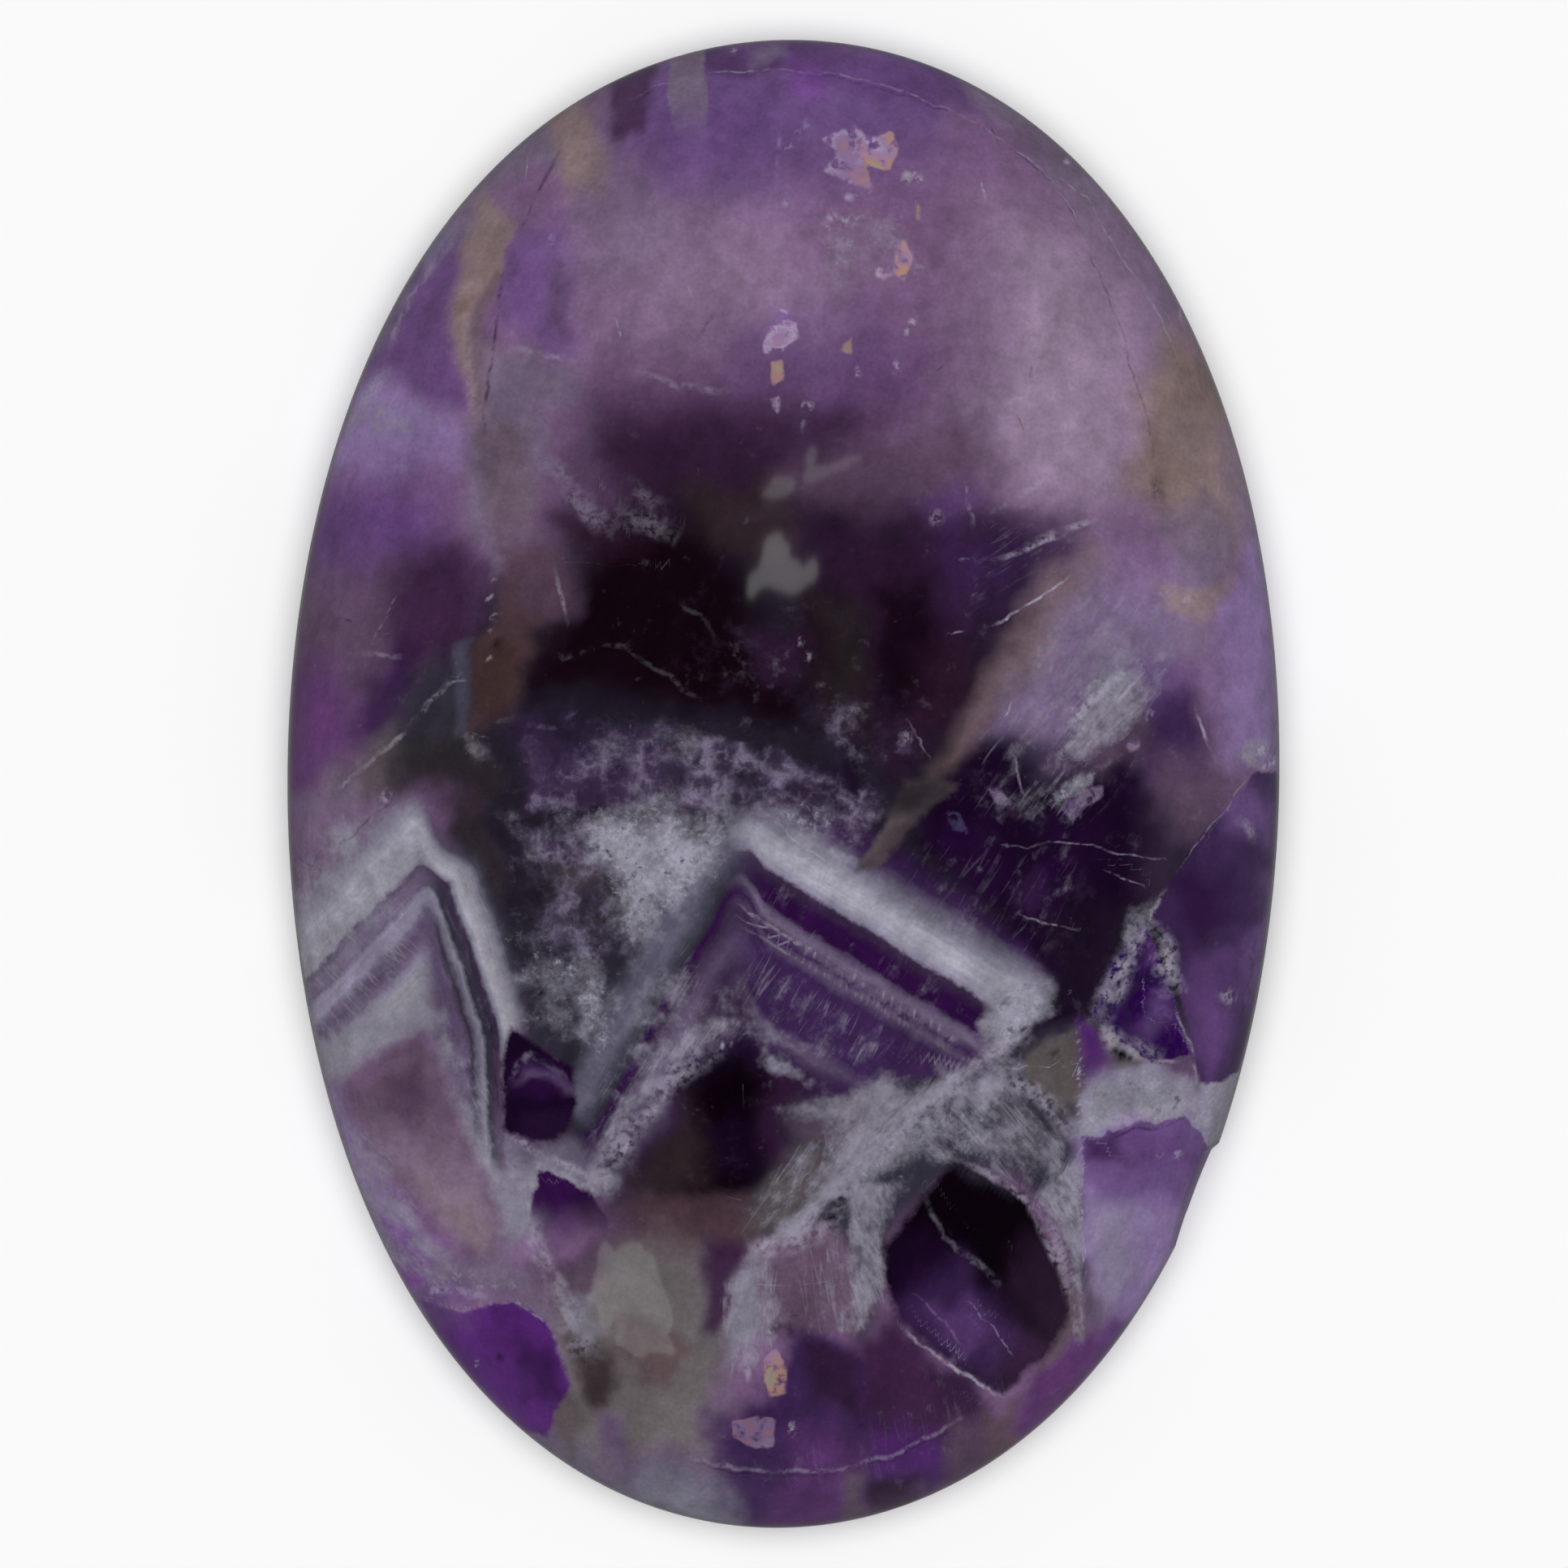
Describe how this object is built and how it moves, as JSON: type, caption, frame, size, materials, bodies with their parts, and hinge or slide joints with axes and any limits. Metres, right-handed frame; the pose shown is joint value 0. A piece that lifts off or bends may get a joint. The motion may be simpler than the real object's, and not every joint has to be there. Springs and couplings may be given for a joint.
{
  "type": "amethyst cabochon",
  "caption": "Polished oval chevron amethyst cabochon: a purple, white-banded stone with a smooth dome, a flat back, a small natural pocket and a chipped girdle.",
  "frame": {"origin": "middle of the flat back, at the bottom centre of the stone's box", "axes": "+Y along the 45 mm length towards the top of the picture, +X across the width towards its right, +Z out of the dome"},
  "size_m": [0.03, 0.045, 0.0076],
  "materials": {
    "amethyst": "polished"
  },
  "bodies": {
    "root": {"cabochon": "amethyst"}
  },
  "joints": []
}
